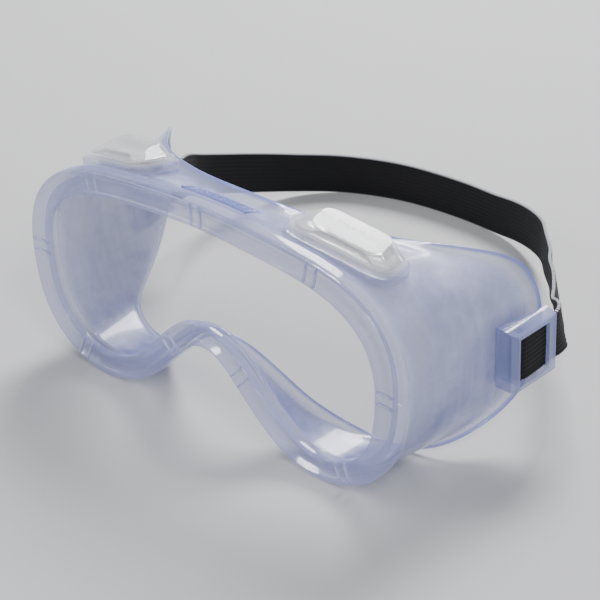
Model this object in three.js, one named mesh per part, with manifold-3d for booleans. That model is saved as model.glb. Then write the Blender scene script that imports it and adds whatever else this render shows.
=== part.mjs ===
// Clear chemical-splash safety goggles: a soft moulded body with a flat lens in a groove,
// two clip-in covered vents on the brow, and an elastic head strap through two side loops.
// Millimetres, +Z up. +X is the wearer's left, the lens faces -Y, the face and strap are towards +Y.
import * as THREE from "three";
import { LoftGeometry } from "three/addons/geometries/LoftGeometry.js";
import { mergeVertices } from "three/addons/utils/BufferGeometryUtils.js";
import Module from "manifold-3d";

const wasm = await Module();
wasm.setup();

// ---- Driving dimensions -------------------------------------------------------------------

const GAP = 0.3; // clearance between touching pieces
const CUT = 1; // how far a cutting tool runs past the face it cuts

const BODY_WIDTH = 162; // rim centreline, side to side
const BODY_HEIGHT = 80.5; // table to rim centreline at the brow
const BODY_DEPTH = 72; // front face to the rearmost edge of the face flange
const STATIONS_PER_SPAN = 3; // sections of the body between two control points

const RIM = {
  half: 4.2, bead: 1.0, depth: 8.4, lip: 3.4, // front band: half width, outer bead, depth, lip on the lens
  round: 0.8, beadRound: 0.4, beadEnd: 2.6, heel: 2.8, heelRound: 1.2, // softened corners
};
const WALL = { thickness: 1.8, out: 3.4, tip: 1.2, root: 0.4 }; // place on the rim, flange tip, root fillet
const LENS_THICKNESS = 1.8;
const LENS_OUT = 1.2; // lens edge, outside the rim's centreline
const BACK_LIP = { reach: 1.9, bevel: 0.3, root: 0.6 }; // lip behind the lens, inside the centreline
const LENS_TAB = { width: 4, reach: 2 }; // tabs on the lens edge that key into the rim

// A covered vent: its moulded seat, the clip-in plate and sleeve, and the ring inside the body.
const VENT = {
  place: 1.97, along: 0.42, // control-point place round the body, share of the wall's depth
  yaw: 10, // degrees that the outer end is set back
  padLength: 43, padWidth: 21, padHeight: 1.2, padDepth: 3.6, padCorner: 8.4,
  plateThickness: 1.5, plateRim: 1.4,
  sleeveLength: 28, sleeveWidth: 9.4, sleeveWall: 1.3, sleeveCorner: 3,
  ringFlange: 2.3, ringThickness: 1.4, ringCorner: 5,
};
const CAP = {
  inset: 1.8, // plate edge to cap edge
  topLength: 26, topWidth: 11, frontHeight: 2.0, rearHeight: 4.6, wall: 1.1, corner: 2.6,
  slots: 7, slotWidth: 2.0, slotPitch: 3.1,
  clipLength: 3, clipDepth: 3.4,
};

const STRAP = { width: 17, thickness: 1.4, clearance: 0.4 }; // elastic band; its room in the loop
const LOOP = {
  drop: 4.5, // loop's middle under the widest point of the body
  length: 22, reach: 5.5, behindEdge: 0.5, // front to rear, past the flange's side, past its rear
  wall: 1.6, bar: 3, rearBar: 3.6, slope: 1.5, // roof and floor, front and rear bars, fall of the roof
  postRadius: 1.5, postBehindFront: 7.5, postFacets: 16,
  noseOut: 1.5, noseBack: 2, // chamfer of the front corner
  flare: 6, flareRun: 4, // where the inner face stands out past the flange, ahead of the flange's edge
};

// ---- Body outlines: matching points from the brow's middle, round the wearer's left, to the nose.

const DRAWN = { width: 162, height: 80.5, depth: 72 }; // the sizes these points are drawn at
const rimPoints = [
  [0, 80.5], [25, 79.2], [50.5, 76.3], [65.3, 71.2], [76, 62], [80.6, 50.5], [81, 38.5], [78.8, 24.5],
  [72.5, 13.7], [62, 6.9], [50, 4.9], [38, 8], [27, 15.8], [17, 26], [8, 33.4], [0, 35.3],
];
const creasePoints = [
  [0, 17, 80], [25, 20.5, 79.3], [50, 33, 75.6], [65.5, 45.5, 71], [79.3, 60, 63.7], [84.6, 65.5, 53.5],
  [85.2, 67.5, 40.5], [84.6, 60.5, 23], [79.5, 47.5, 11.5], [70.5, 33, 5.2], [56, 27, 1.3], [40, 21.5, 3.6],
  [27, 17, 11], [16.5, 12.5, 20.5], [7.5, 10.4, 27.6], [0, 10, 30],
];
const flangePoints = [
  [0, 24, 81.5], [26.5, 28.5, 78.8], [52.5, 39.5, 74.7], [68, 53, 71.2], [81.5, 67, 65], [87, 70.5, 55.5],
  [88, 72, 40.5], [87.5, 65.5, 22], [83, 54, 11], [74, 38, 3.6], [61, 32, 0.3], [45, 27, 4],
  [31.5, 20, 12.8], [20.5, 16, 22], [10.5, 13.4, 28.6], [0, 12.4, 30.8],
];
const TAB_PLACES = [2, 5.7, 9, 13]; // control-point places of the paired lens tabs; one more is at the brow
const LOOP_PLACE = 6; // control-point place of the strap loops

// The strap from the wearer's left loop, behind the head, to the right one: x, distance behind
// the swivel, height of the lower edge, and degrees that the lower edge stands out.
const STRAP_DRAWN_X = 90.3;
const strapRoute = [
  [90.3, 0, 27.5, 3], [87.5, 6, 26.5, 9], [81.5, 12, 24, 13], [75, 21, 22.5, 12], [67, 30.5, 21, 8],
  [57, 41, 18, 4], [47, 54, 13.5, 2], [36, 66, 10.5, 0], [24.5, 78.5, 7.5, 0], [13.5, 86.5, 5, 0],
  [2, 92, 2.7, 0], [-10, 95, 0.8, 0], [-30, 96.5, 0.3, 0], [-58, 93.5, 0.3, 0], [-82, 84, 0.3, 0],
  [-97, 67.5, 2.5, 0], [-103, 46.5, 8.5, 0], [-104, 31.5, 13.5, 2], [-101.5, 19.5, 18.5, 4],
  [-96.5, 10, 23.5, 5], [-91.8, 3, 26.5, 3], [-90.3, 0, 27.5, 3],
];
const STRAP_DRAWN_LOW = 27.5;
const STRAP_STEPS = 60; // straight pieces along the strap
const STRAP_END_STEPS = 4; // sections of each rounded strap end
const STRAP_TIP = 0.4; // share of one step at which a rounded end begins
const STRAP_LIFT = THREE.MathUtils.degToRad(60); // swing of the strap that the loops leave room for

// ---- Materials ----------------------------------------------------------------------------

function finish(color, roughness, opacity = 1) {
  const transparent = opacity < 1;
  return new THREE.MeshStandardMaterial({ color, roughness, metalness: 0, opacity, transparent });
}
const softVinyl = finish(0x9fa8dc, 0.35, 0.6);
const clearLens = finish(0xf2f6fa, 0.04, 0.2);
const clearCap = finish(0xf0f2f8, 0.15, 0.5);
const blackElastic = finish(0x0e0e10, 0.85);

// ---- Solids -------------------------------------------------------------------------------

function solid(geometry) {
  const plain = new THREE.BufferGeometry().copy(geometry);
  plain.deleteAttribute("normal");
  plain.deleteAttribute("uv");
  const merged = mergeVertices(plain, 1e-4);
  return new wasm.Manifold(
    new wasm.Mesh({
      numProp: 3,
      vertProperties: new Float32Array(merged.attributes.position.array),
      triVerts: new Uint32Array(merged.index.array),
    }),
  );
}

function geometryOf(body) {
  const mesh = body.getMesh();
  const geometry = new THREE.BufferGeometry();
  geometry.setAttribute("position", new THREE.BufferAttribute(new Float32Array(mesh.vertProperties), 3));
  geometry.setIndex(new THREE.BufferAttribute(new Uint32Array(mesh.triVerts), 1));
  geometry.computeVertexNormals();
  return geometry;
}

function box(x0, x1, y0, y1, z0, z1) {
  const geometry = new THREE.BoxGeometry(x1 - x0, y1 - y0, z1 - z0);
  return geometry.translate((x0 + x1) / 2, (y0 + y1) / 2, (z0 + z1) / 2);
}

// A rectangle with round corners, centred on the origin.
function roundedOutline(length, width, corner) {
  const shape = new THREE.Shape();
  const x = length / 2 - corner;
  const y = width / 2 - corner;
  shape.absarc(x, -y, corner, -Math.PI / 2, 0);
  shape.absarc(x, y, corner, 0, Math.PI / 2);
  shape.absarc(-x, y, corner, Math.PI / 2, Math.PI);
  shape.absarc(-x, -y, corner, Math.PI, Math.PI * 1.5);
  shape.closePath();
  return shape;
}

// A plate of the outline from z0 to z1.
function plate(shape, z0, z1) {
  const settings = { depth: z1 - z0, curveSegments: 5, bevelEnabled: false };
  return new THREE.ExtrudeGeometry(shape, settings).translate(0, 0, z0);
}

// ---- Body curves --------------------------------------------------------------------------

// A whole closed outline, mirrored from its half and stretched from the drawn to the driving sizes.
function wholeOutline(points) {
  const half = points.map((p) => {
    const [x, y, z] = p.length === 2 ? [p[0], 0, p[1]] : p;
    return new THREE.Vector3(
      (x * BODY_WIDTH) / DRAWN.width,
      (y * BODY_DEPTH) / DRAWN.depth,
      (z * BODY_HEIGHT) / DRAWN.height,
    );
  });
  const other = half.slice(1, -1).reverse().map((p) => new THREE.Vector3(-p.x, p.y, p.z));
  return new THREE.CatmullRomCurve3([...half, ...other], true);
}

const rimCurve = wholeOutline(rimPoints);
const creaseCurve = wholeOutline(creasePoints);
const flangeCurve = wholeOutline(flangePoints);
const SPANS = rimCurve.points.length;

// The outward direction of an outline in the X-Z plane.
function outward(curve, t) {
  const tangent = curve.getTangent(t);
  return new THREE.Vector3(-tangent.z, 0, tangent.x).normalize();
}

// A point beside the rim's centreline: out from it, and back from the front face.
function besideRim(t, out, back) {
  const point = rimCurve.getPoint(t).addScaledVector(outward(rimCurve, t), out);
  return point.setY(back);
}

const GROOVE_BACK = RIM.lip + LENS_THICKNESS + 2 * GAP;
const GROOVE_OUT = LENS_OUT + GAP;

// One closed section of the body: rim, wall, flange and back again.
function bodySection(t) {
  const edge = RIM.half + RIM.bead;
  const wallIn = WALL.out - WALL.thickness;
  const crease = creaseCurve.getPoint(t);
  const flange = flangeCurve.getPoint(t);
  const creaseOut = outward(creaseCurve, t);
  const flangeOut = outward(flangeCurve, t);
  return [
    besideRim(t, -RIM.half, RIM.bead),
    besideRim(t, -RIM.half + RIM.round, 0),
    besideRim(t, RIM.half - RIM.round, 0),
    besideRim(t, edge - RIM.beadRound, RIM.bead),
    besideRim(t, edge, RIM.beadEnd),
    besideRim(t, edge, RIM.depth - RIM.heel),
    besideRim(t, edge - RIM.round, RIM.depth - RIM.heelRound),
    besideRim(t, WALL.out, RIM.depth),
    crease,
    flange,
    flange.clone().addScaledVector(flangeOut, -WALL.tip),
    crease.clone().addScaledVector(creaseOut, -WALL.thickness),
    besideRim(t, wallIn, RIM.depth + WALL.root),
    besideRim(t, BACK_LIP.bevel - BACK_LIP.reach, RIM.depth - BACK_LIP.root),
    besideRim(t, -BACK_LIP.reach, GROOVE_BACK),
    besideRim(t, GROOVE_OUT, GROOVE_BACK),
    besideRim(t, GROOVE_OUT, RIM.lip),
    besideRim(t, RIM.round - RIM.half, RIM.lip),
    besideRim(t, -RIM.half, RIM.lip - RIM.round),
  ];
}

function bodyShell() {
  const count = SPANS * STATIONS_PER_SPAN;
  const sections = [];
  for (let i = count; i >= 0; i--) sections.push(bodySection((i % count) / count));
  return solid(new LoftGeometry(sections));
}

// Runs make(t) at the brow's middle and at each place on both sides.
function aroundRim(places, make) {
  const turns = [0, ...places.flatMap((p) => [p / SPANS, 1 - p / SPANS])];
  return turns.map(make);
}

// A block across the rim at t: a given width along it, from out0 to out1, and from back0 to back1.
function rimBlock(t, width, out0, out1, back0, back1) {
  const out = outward(rimCurve, t);
  const geometry = box(-width / 2, width / 2, back0, back1, out0, out1);
  geometry.rotateY(Math.atan2(out.x, out.z));
  const centre = rimCurve.getPoint(t);
  return solid(geometry.translate(centre.x, 0, centre.z));
}

// ---- Vents ----------------------------------------------------------------------------------

// The frame of a vent seat: X along the brow, Y back along the wall, Z out of the wall.
function ventFrame() {
  const t = VENT.place / SPANS;
  const front = besideRim(t, WALL.out, RIM.depth);
  const rear = creaseCurve.getPoint(t);
  const back = rear.clone().sub(front).normalize();
  const along = rimCurve.getTangent(t).setY(0).normalize();
  const out = along.clone().cross(back).normalize();
  const side = back.clone().cross(out).normalize();
  const origin = front.clone().lerp(rear, VENT.along);
  const turn = new THREE.Matrix4().makeRotationZ(THREE.MathUtils.degToRad(VENT.yaw));
  return new THREE.Matrix4().makeBasis(side, back, out).setPosition(origin).multiply(turn);
}

const ventLeft = ventFrame();
const sleeveHole = roundedOutline(VENT.sleeveLength + 2 * GAP, VENT.sleeveWidth + 2 * GAP, VENT.sleeveCorner);
const PLATE_LOW = VENT.padHeight + GAP;
const PLATE_HIGH = PLATE_LOW + VENT.plateThickness;
const RING_HIGH = -VENT.padDepth - GAP;
const RING_LOW = RING_HIGH - VENT.ringThickness;
const RING_LENGTH = VENT.sleeveLength + 2 * VENT.ringFlange;
const RING_WIDTH = VENT.sleeveWidth + 2 * VENT.ringFlange;
const PLATE_LENGTH = VENT.padLength - 2 * VENT.plateRim;
const PLATE_WIDTH = VENT.padWidth - 2 * VENT.plateRim;
const PLATE_CORNER = VENT.padCorner - VENT.plateRim;

function placedVent(body) {
  return solid(geometryOf(body).applyMatrix4(ventLeft));
}

// Moulded seat: a low pad through the wall, flat inside and out, that stays behind the lens groove.
function ventPad() {
  const shape = roundedOutline(VENT.padLength, VENT.padWidth, VENT.padCorner);
  const pad = placedVent(solid(plate(shape, -VENT.padDepth, VENT.padHeight)));
  const behindGroove = (GROOVE_BACK + RIM.depth) / 2;
  return pad.subtract(solid(box(0, BODY_WIDTH, -BODY_DEPTH, behindGroove, 0, 2 * BODY_HEIGHT)));
}

// What is cut from the body: the sleeve's hole, and room for the ring under the pad.
function ventHole() {
  const hole = solid(plate(sleeveHole, -VENT.padDepth - 2 * CUT, VENT.padHeight + 2 * CUT));
  const room = roundedOutline(RING_LENGTH + 2 * GAP, RING_WIDTH + 2 * GAP, VENT.ringCorner + GAP);
  return placedVent(hole.add(solid(plate(room, RING_LOW - GAP, -VENT.padDepth))));
}

// Plate on the seat, with the sleeve that runs through the body.
function ventPlate() {
  const { sleeveLength, sleeveWidth, sleeveWall, sleeveCorner } = VENT;
  const flat = solid(plate(roundedOutline(PLATE_LENGTH, PLATE_WIDTH, PLATE_CORNER), PLATE_LOW, PLATE_HIGH));
  const inPlate = (PLATE_LOW + PLATE_HIGH) / 2;
  const sleeve = solid(plate(roundedOutline(sleeveLength, sleeveWidth, sleeveCorner), RING_LOW, inPlate));
  const duct = roundedOutline(
    sleeveLength - 2 * sleeveWall, sleeveWidth - 2 * sleeveWall, sleeveCorner - sleeveWall,
  );
  return flat.add(sleeve).subtract(solid(plate(duct, RING_LOW - CUT, PLATE_HIGH + CUT)));
}

// Ring that clamps the sleeve from inside the body.
function ventRing() {
  const ring = solid(plate(roundedOutline(RING_LENGTH, RING_WIDTH, VENT.ringCorner), RING_LOW, RING_HIGH));
  return ring.subtract(solid(plate(sleeveHole, RING_LOW - CUT, RING_HIGH + CUT)));
}

// The cap's outline at one level: a rounded rectangle whose rear can stand higher than its front.
function capOutline(length, width, corner, front, rear, shift = 0) {
  const points = roundedOutline(length, width, corner).getPoints(4);
  points.pop();
  return points.map((p) => {
    const share = p.y / width + 0.5;
    return new THREE.Vector3(p.x, p.y + shift, THREE.MathUtils.lerp(front, rear, share));
  });
}

// Wedge-shaped hood, open below and louvred at the rear, with two clips that enter the sleeve.
function ventCap() {
  const length = PLATE_LENGTH - 2 * CAP.inset;
  const width = PLATE_WIDTH - 2 * CAP.inset;
  const low = PLATE_HIGH + GAP;
  const { topLength, topWidth, frontHeight, rearHeight, wall, corner } = CAP;
  const shift = (width - topWidth) / 4;
  const outer = new LoftGeometry(
    [
      capOutline(length, width, corner + wall, low, low),
      capOutline(topLength, topWidth, corner, low + frontHeight, low + rearHeight, shift),
    ],
    { capStart: true, capEnd: true },
  );
  const inner = new LoftGeometry(
    [
      capOutline(length - 2 * wall, width - 2 * wall, corner, low - CUT, low - CUT),
      capOutline(
        topLength - 2 * wall, topWidth - 2 * wall, corner - wall,
        low + frontHeight - wall, low + rearHeight - wall, shift,
      ),
    ],
    { capStart: true, capEnd: true },
  );
  let hood = solid(outer).subtract(solid(inner));
  for (let i = 0; i < CAP.slots; i++) {
    const x = (i - (CAP.slots - 1) / 2) * CAP.slotPitch;
    const half = CAP.slotWidth / 2;
    const slot = box(x - half, x + half, topWidth / 2 - wall, width, low + wall / 2, low + rearHeight - wall);
    hood = hood.subtract(solid(slot));
  }
  const clipHalf = VENT.sleeveWidth / 2 - VENT.sleeveCorner;
  const clipOut = VENT.sleeveLength / 2 - VENT.sleeveWall - GAP;
  const bridge = box(-length / 2 + wall / 2, length / 2 - wall / 2, -wall / 2, wall / 2, low, low + wall);
  hood = hood.add(solid(bridge));
  for (const x of [-clipOut, clipOut - CAP.clipLength]) {
    const clip = box(x, x + CAP.clipLength, -clipHalf, clipHalf, low - CAP.clipDepth, low + wall);
    hood = hood.add(solid(clip));
  }
  return hood;
}

// ---- Lens -----------------------------------------------------------------------------------

const LENS_FRONT = RIM.lip + GAP;

function lensPlate() {
  const count = SPANS * STATIONS_PER_SPAN;
  const points = [];
  for (let i = 0; i < count; i++) {
    const p = besideRim(i / count, LENS_OUT, 0);
    points.push(new THREE.Vector2(p.x, p.z));
  }
  const geometry = plate(new THREE.Shape(points), 0, LENS_THICKNESS).rotateX(Math.PI / 2);
  let lens = solid(geometry.translate(0, LENS_FRONT + LENS_THICKNESS, 0));
  const back = LENS_FRONT + LENS_THICKNESS;
  const tab = (t) => rimBlock(t, LENS_TAB.width, -LENS_OUT, LENS_OUT + LENS_TAB.reach, LENS_FRONT, back);
  for (const body of aroundRim(TAB_PLACES, tab)) lens = lens.add(body);
  return lens;
}

// ---- Strap loops and strap --------------------------------------------------------------------

const sideCrease = creaseCurve.getPoint(LOOP_PLACE / SPANS);
const sideEdge = flangeCurve.getPoint(LOOP_PLACE / SPANS);
const LOOP_Z = sideCrease.z - LOOP.drop;
const LOOP_REAR = sideEdge.y + LOOP.behindEdge;
const LOOP_FRONT = LOOP_REAR - LOOP.length;
const LOOP_OUT = sideEdge.x + LOOP.reach;
const STRAP_IN = sideEdge.x + 3 * GAP; // inner face of the doubled strap at the loop's rear
const STRAP_X = STRAP_IN + STRAP.thickness;
const BAR_IN = STRAP_IN + 2 * STRAP.thickness + GAP;
const POST_Y = LOOP_FRONT + LOOP.postBehindFront;
const WRAP_OUT = LOOP.postRadius + GAP + STRAP.thickness;
const POST_X = sideCrease.x + 2 * GAP + WRAP_OUT;
const OPENING = STRAP.width / 2 + STRAP.clearance; // from the loop's middle to its roof and floor
// Far enough behind the loop that the lifted strap's edge stays clear of the roof.
const SWIVEL_BEHIND = (STRAP.width / 2 + GAP - OPENING * Math.cos(STRAP_LIFT)) / Math.sin(STRAP_LIFT);
const SWIVEL_Y = LOOP_REAR + SWIVEL_BEHIND;
const STRAP_END_REAR = SWIVEL_Y - STRAP.width / 2 - GAP;

function polygon(points) {
  return new THREE.Shape(points.map(([x, y]) => new THREE.Vector2(x, y)));
}

// Box-like loop on the side wall, open outwards and to the rear, with a round post inside.
function strapLoop() {
  const inside = sideCrease.x + GAP;
  const edge = sideEdge.x + GAP;
  const low = LOOP_Z - OPENING - LOOP.wall;
  const high = LOOP_Z + OPENING + LOOP.wall;
  const flareRear = sideEdge.y - LOOP.flare;
  const outline = polygon([
    [inside, LOOP_FRONT], [LOOP_OUT - LOOP.noseOut, LOOP_FRONT], [LOOP_OUT, LOOP_FRONT + LOOP.noseBack],
    [LOOP_OUT, LOOP_REAR], [edge, LOOP_REAR], [edge, flareRear], [inside, flareRear - 2 * LOOP.flareRun],
  ]);
  const room = polygon([
    [inside - CUT, LOOP_FRONT + LOOP.bar], [LOOP_OUT + CUT, LOOP_FRONT + LOOP.bar],
    [LOOP_OUT + CUT, LOOP_REAR - LOOP.rearBar], [BAR_IN, LOOP_REAR - LOOP.rearBar],
    [BAR_IN, LOOP_REAR + CUT], [inside - CUT, LOOP_REAR + CUT],
  ]);
  const run = LOOP_OUT - inside;
  const roof = box(0, 2 * run, LOOP_FRONT - CUT, LOOP_REAR + CUT, 0, 3 * LOOP.slope);
  roof.rotateY(Math.atan2(LOOP.slope, run / 2)).translate(inside + run / 2, 0, high + LOOP.slope);
  const { postRadius, postFacets } = LOOP;
  const post = new THREE.CylinderGeometry(postRadius, postRadius, high - low - LOOP.wall, postFacets);
  post.rotateX(Math.PI / 2).translate(POST_X, POST_Y, LOOP_Z);
  return solid(plate(outline, low, high + LOOP.slope))
    .subtract(solid(plate(room, LOOP_Z - OPENING, LOOP_Z + OPENING)))
    .subtract(solid(roof))
    .add(solid(post));
}

// End of the strap: it goes round the post and back onto itself.
function strapEnd() {
  const around = LOOP.postRadius + GAP;
  const shape = new THREE.Shape();
  shape.moveTo(STRAP_IN, STRAP_END_REAR);
  shape.lineTo(POST_X - WRAP_OUT, POST_Y);
  shape.absarc(POST_X, POST_Y, WRAP_OUT, Math.PI, 2 * Math.PI);
  const doubled = 2 * STRAP.thickness;
  shape.quadraticCurveTo(POST_X + WRAP_OUT, (POST_Y + LOOP_REAR) / 2, STRAP_IN + doubled, STRAP_END_REAR);
  const hole = new THREE.Path();
  hole.moveTo(STRAP_X, STRAP_END_REAR - doubled);
  hole.lineTo(POST_X + around, POST_Y);
  hole.absarc(POST_X, POST_Y, around, 0, Math.PI, true);
  shape.holes.push(hole);
  return solid(plate(shape, LOOP_Z - STRAP.width / 2, LOOP_Z + STRAP.width / 2));
}

// Four corners of the strap's section at a point of its route.
function strapSection(centre, forward, lean, half) {
  const up = new THREE.Vector3(0, 0, 1).addScaledVector(forward, -forward.z).normalize();
  const side = forward.clone().cross(up).normalize();
  const angle = THREE.MathUtils.degToRad(lean);
  const tall = up.clone().multiplyScalar(Math.cos(angle)).addScaledVector(side, -Math.sin(angle));
  const thick = forward.clone().cross(tall).normalize();
  const corners = [[1, 1], [-1, 1], [-1, -1], [1, -1]];
  return corners.map(([a, b]) =>
    centre.clone().addScaledVector(tall, a * half).addScaledVector(thick, (b * STRAP.thickness) / 2),
  );
}

function strapBand() {
  const half = STRAP.width / 2;
  const wide = STRAP_X / STRAP_DRAWN_X;
  const rise = (LOOP_Z - half) / STRAP_DRAWN_LOW;
  const middle = new THREE.CatmullRomCurve3(
    strapRoute.map(([x, behind, low]) => new THREE.Vector3(x * wide, SWIVEL_Y + behind, low * rise + half)),
  );
  const leans = new THREE.CatmullRomCurve3(strapRoute.map((p) => new THREE.Vector3(p[3], 0, 0)));
  const sections = [];
  for (let i = 0; i <= STRAP_STEPS; i++) {
    const t = i / STRAP_STEPS;
    sections.push(strapSection(middle.getPoint(t), middle.getTangent(t), leans.getPoint(t).x, half));
  }
  // Rounded ends, so that the band can turn behind the loops.
  const swivel = (side, step) => {
    const turn = ((step + STRAP_TIP) / (STRAP_END_STEPS + STRAP_TIP)) * (Math.PI / 2);
    const centre = new THREE.Vector3(side * STRAP_X, SWIVEL_Y - half * Math.cos(turn), LOOP_Z);
    return strapSection(centre, new THREE.Vector3(0, side, 0), strapRoute[0][3], half * Math.sin(turn));
  };
  const steps = [...Array(STRAP_END_STEPS).keys()];
  const first = steps.map((step) => swivel(1, step));
  const last = steps.reverse().map((step) => swivel(-1, step));
  return solid(new LoftGeometry([...first, ...sections, ...last], { capStart: true, capEnd: true }));
}

// ---- Assembly -------------------------------------------------------------------------------

function goggleBody() {
  const hole = ventHole();
  const pocket = (t) =>
    rimBlock(t, LENS_TAB.width + 2 * GAP, 0, LENS_OUT + LENS_TAB.reach + GAP, RIM.lip, GROOVE_BACK);
  const ground = box(-BODY_WIDTH, BODY_WIDTH, -BODY_DEPTH, 2 * BODY_DEPTH, -BODY_HEIGHT, 0);
  let body = bodyShell().add(ventPad()).add(ventPad().mirror([1, 0, 0]));
  body = body.subtract(hole).subtract(hole.mirror([1, 0, 0]));
  for (const block of aroundRim(TAB_PLACES, pocket)) body = body.subtract(block);
  return body.subtract(solid(ground));
}

function mesh(name, body, material) {
  const made = new THREE.Mesh(geometryOf(body), material);
  made.name = name;
  return made;
}

// The pieces of one side; the other side is its mirror image.
function sideAssembly(side) {
  const group = new THREE.Group();
  const vent = new THREE.Group();
  vent.applyMatrix4(ventLeft);
  vent.add(
    mesh("vent_plate_" + side, ventPlate(), clearCap),
    mesh("vent_cap_" + side, ventCap(), clearCap),
    mesh("vent_ring_" + side, ventRing(), clearCap),
  );
  group.add(
    vent,
    mesh("strap_loop_" + side, strapLoop(), softVinyl),
    mesh("strap_end_" + side, strapEnd(), blackElastic),
  );
  return group;
}

const goggles = new THREE.Group();
const rightSide = sideAssembly("right");
rightSide.scale.x = -1;
goggles.add(
  mesh("goggle_body", goggleBody(), softVinyl),
  mesh("lens", lensPlate(), clearLens),
  sideAssembly("left"),
  rightSide,
  mesh("strap_band", strapBand(), blackElastic),
);

// The origin is under the middle of the whole object, on the table.
const extent = new THREE.Box3().setFromObject(goggles);
const middle = extent.getCenter(new THREE.Vector3());
goggles.position.set(-middle.x, -middle.y, -extent.min.z);

export default goggles;
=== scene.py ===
"""Splash goggles: a moulded vinyl body, a clear lens, two covered vents and an elastic strap in two loops."""

import logging
import math
from dataclasses import dataclass
from enum import Enum
from typing import Any, Callable, Sequence

import bmesh
import bpy
from mathutils import Matrix, Vector


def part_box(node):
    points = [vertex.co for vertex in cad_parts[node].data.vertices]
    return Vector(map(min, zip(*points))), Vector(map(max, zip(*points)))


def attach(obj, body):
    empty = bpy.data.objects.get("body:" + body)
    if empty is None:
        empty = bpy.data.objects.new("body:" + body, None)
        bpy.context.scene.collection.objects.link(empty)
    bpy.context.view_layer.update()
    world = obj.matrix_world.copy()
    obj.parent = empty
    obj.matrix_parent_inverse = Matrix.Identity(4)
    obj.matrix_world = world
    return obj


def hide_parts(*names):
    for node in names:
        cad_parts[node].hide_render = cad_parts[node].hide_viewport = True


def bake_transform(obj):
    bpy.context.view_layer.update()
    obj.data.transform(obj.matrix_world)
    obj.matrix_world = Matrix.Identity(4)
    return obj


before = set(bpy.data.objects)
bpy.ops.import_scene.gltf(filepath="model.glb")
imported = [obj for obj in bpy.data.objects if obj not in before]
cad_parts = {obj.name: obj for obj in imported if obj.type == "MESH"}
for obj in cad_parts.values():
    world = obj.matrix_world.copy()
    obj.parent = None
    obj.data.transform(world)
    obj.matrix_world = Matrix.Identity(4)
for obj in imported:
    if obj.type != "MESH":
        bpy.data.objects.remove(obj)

LOG = logging.getLogger("goggles")
MM = 0.001  # metres in a millimetre
TINY = 1e-6  # metres within which two points are one
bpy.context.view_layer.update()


class Slot(Enum):
    """The record's material slots that new pieces take."""

    VINYL = "soft_vinyl"
    VENT = "clear_vent"
    ELASTIC = "black_elastic"


class Side(Enum):
    """A side of the wearer, with the sign of its X."""

    LEFT = 1
    RIGHT = -1

    @property
    def word(self) -> str:
        """The side's name in lower case."""
        return self.name.lower()


Colour = tuple[float, float, float]
Stretch = tuple[float, float, float]  # how much a pattern is repeated along each axis


# ---- Shader building --------------------------------------------------------------------------


class Value:
    """A number that a shader node gives, with the usual arithmetic on it."""

    def __init__(self, graph: "Graph", socket: bpy.types.NodeSocket) -> None:
        """Wraps an output socket of a graph."""
        self.graph = graph
        self.socket = socket

    def _math(self, operation: str, *values: Any, clamp: bool = False) -> "Value":
        """Adds one Math node.

        Args:
            operation: the node's operation.
            values: its inputs, numbers or Values.
            clamp: whether the result is kept between 0 and 1.

        Returns:
            The node's result.
        """
        settings = {"operation": operation, "use_clamp": clamp}
        node = self.graph.add("ShaderNodeMath", settings, dict(enumerate(values)))
        return Value(self.graph, node.outputs[0])

    def __add__(self, other: Any) -> "Value":
        """The sum."""
        return self._math("ADD", self, other)

    def __radd__(self, other: Any) -> "Value":
        """The reflected sum."""
        return self._math("ADD", other, self)

    def __sub__(self, other: Any) -> "Value":
        """The difference."""
        return self._math("SUBTRACT", self, other)

    def __rsub__(self, other: Any) -> "Value":
        """The reflected difference."""
        return self._math("SUBTRACT", other, self)

    def __mul__(self, other: Any) -> "Value":
        """The product."""
        return self._math("MULTIPLY", self, other)

    def __rmul__(self, other: Any) -> "Value":
        """The reflected product."""
        return self._math("MULTIPLY", other, self)

    def __truediv__(self, other: Any) -> "Value":
        """The quotient."""
        return self._math("DIVIDE", self, other)

    def __rtruediv__(self, other: Any) -> "Value":
        """The reflected quotient."""
        return self._math("DIVIDE", other, self)

    def __pow__(self, other: Any) -> "Value":
        """The power."""
        return self._math("POWER", self, other)

    def above(self, edge: float) -> "Value":
        """1 where the value is over an edge, else 0."""
        return self._math("GREATER_THAN", self, edge)

    def size(self) -> "Value":
        """The value without its sign."""
        return self._math("ABSOLUTE", self)

    def wave(self) -> "Value":
        """The sine of the value."""
        return self._math("SINE", self)

    def limited(self) -> "Value":
        """The value kept between 0 and 1."""
        return self._math("ADD", self, 0.0, clamp=True)


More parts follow.
